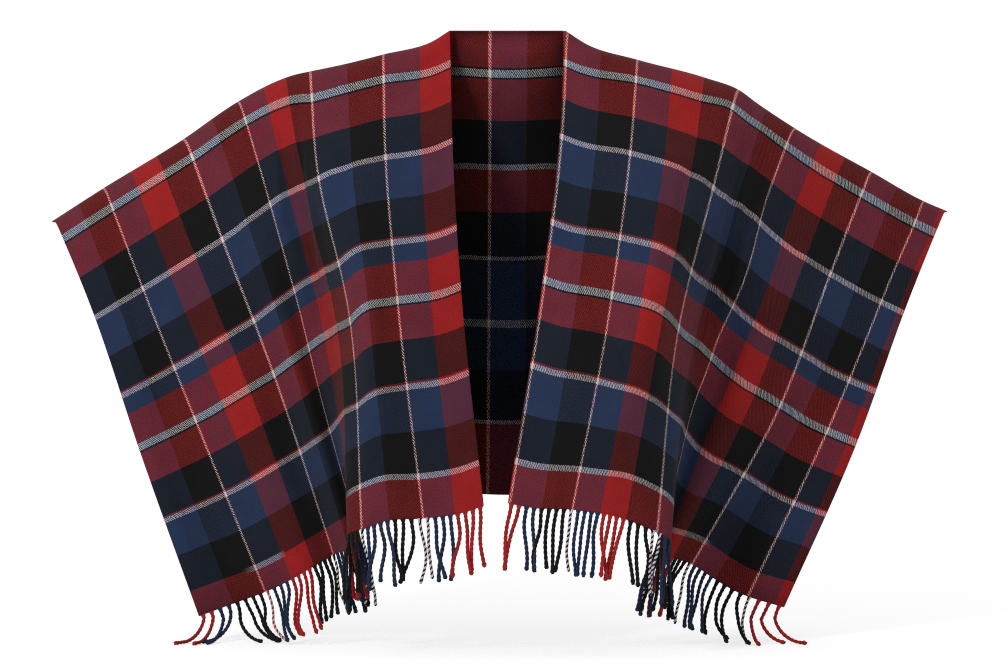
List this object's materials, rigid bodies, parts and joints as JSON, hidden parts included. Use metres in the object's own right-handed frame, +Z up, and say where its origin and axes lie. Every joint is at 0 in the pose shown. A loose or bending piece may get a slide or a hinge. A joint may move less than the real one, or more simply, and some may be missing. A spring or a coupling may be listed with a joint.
{
  "type": "open-front fringed plaid cape",
  "caption": "Open-front plaid wrap cape, hanging as worn from neck and arms: fringed front panels joined along the shoulders to a wide back panel, hollow inside.",
  "frame": {"origin": "middle of the back neck edge, where the wearer's neck and shoulders carry the cloth", "axes": "+Z up, the open front faces -Y, +X to the right as seen from the front"},
  "size_m": [1.2789, 0.3771, 0.851],
  "materials": {
    "plaid_wool": "soft brushed wool twill, red, navy and black plaid with white overchecks, matt",
    "fringe_wool": "twisted wool strands in red, navy, black and white, matt"
  },
  "bodies": {
    "root": {"back": "plaid_wool", "front_left": "plaid_wool", "front_right": "plaid_wool", "fringe_left": "fringe_wool", "fringe_right": "fringe_wool"}
  },
  "joints": []
}
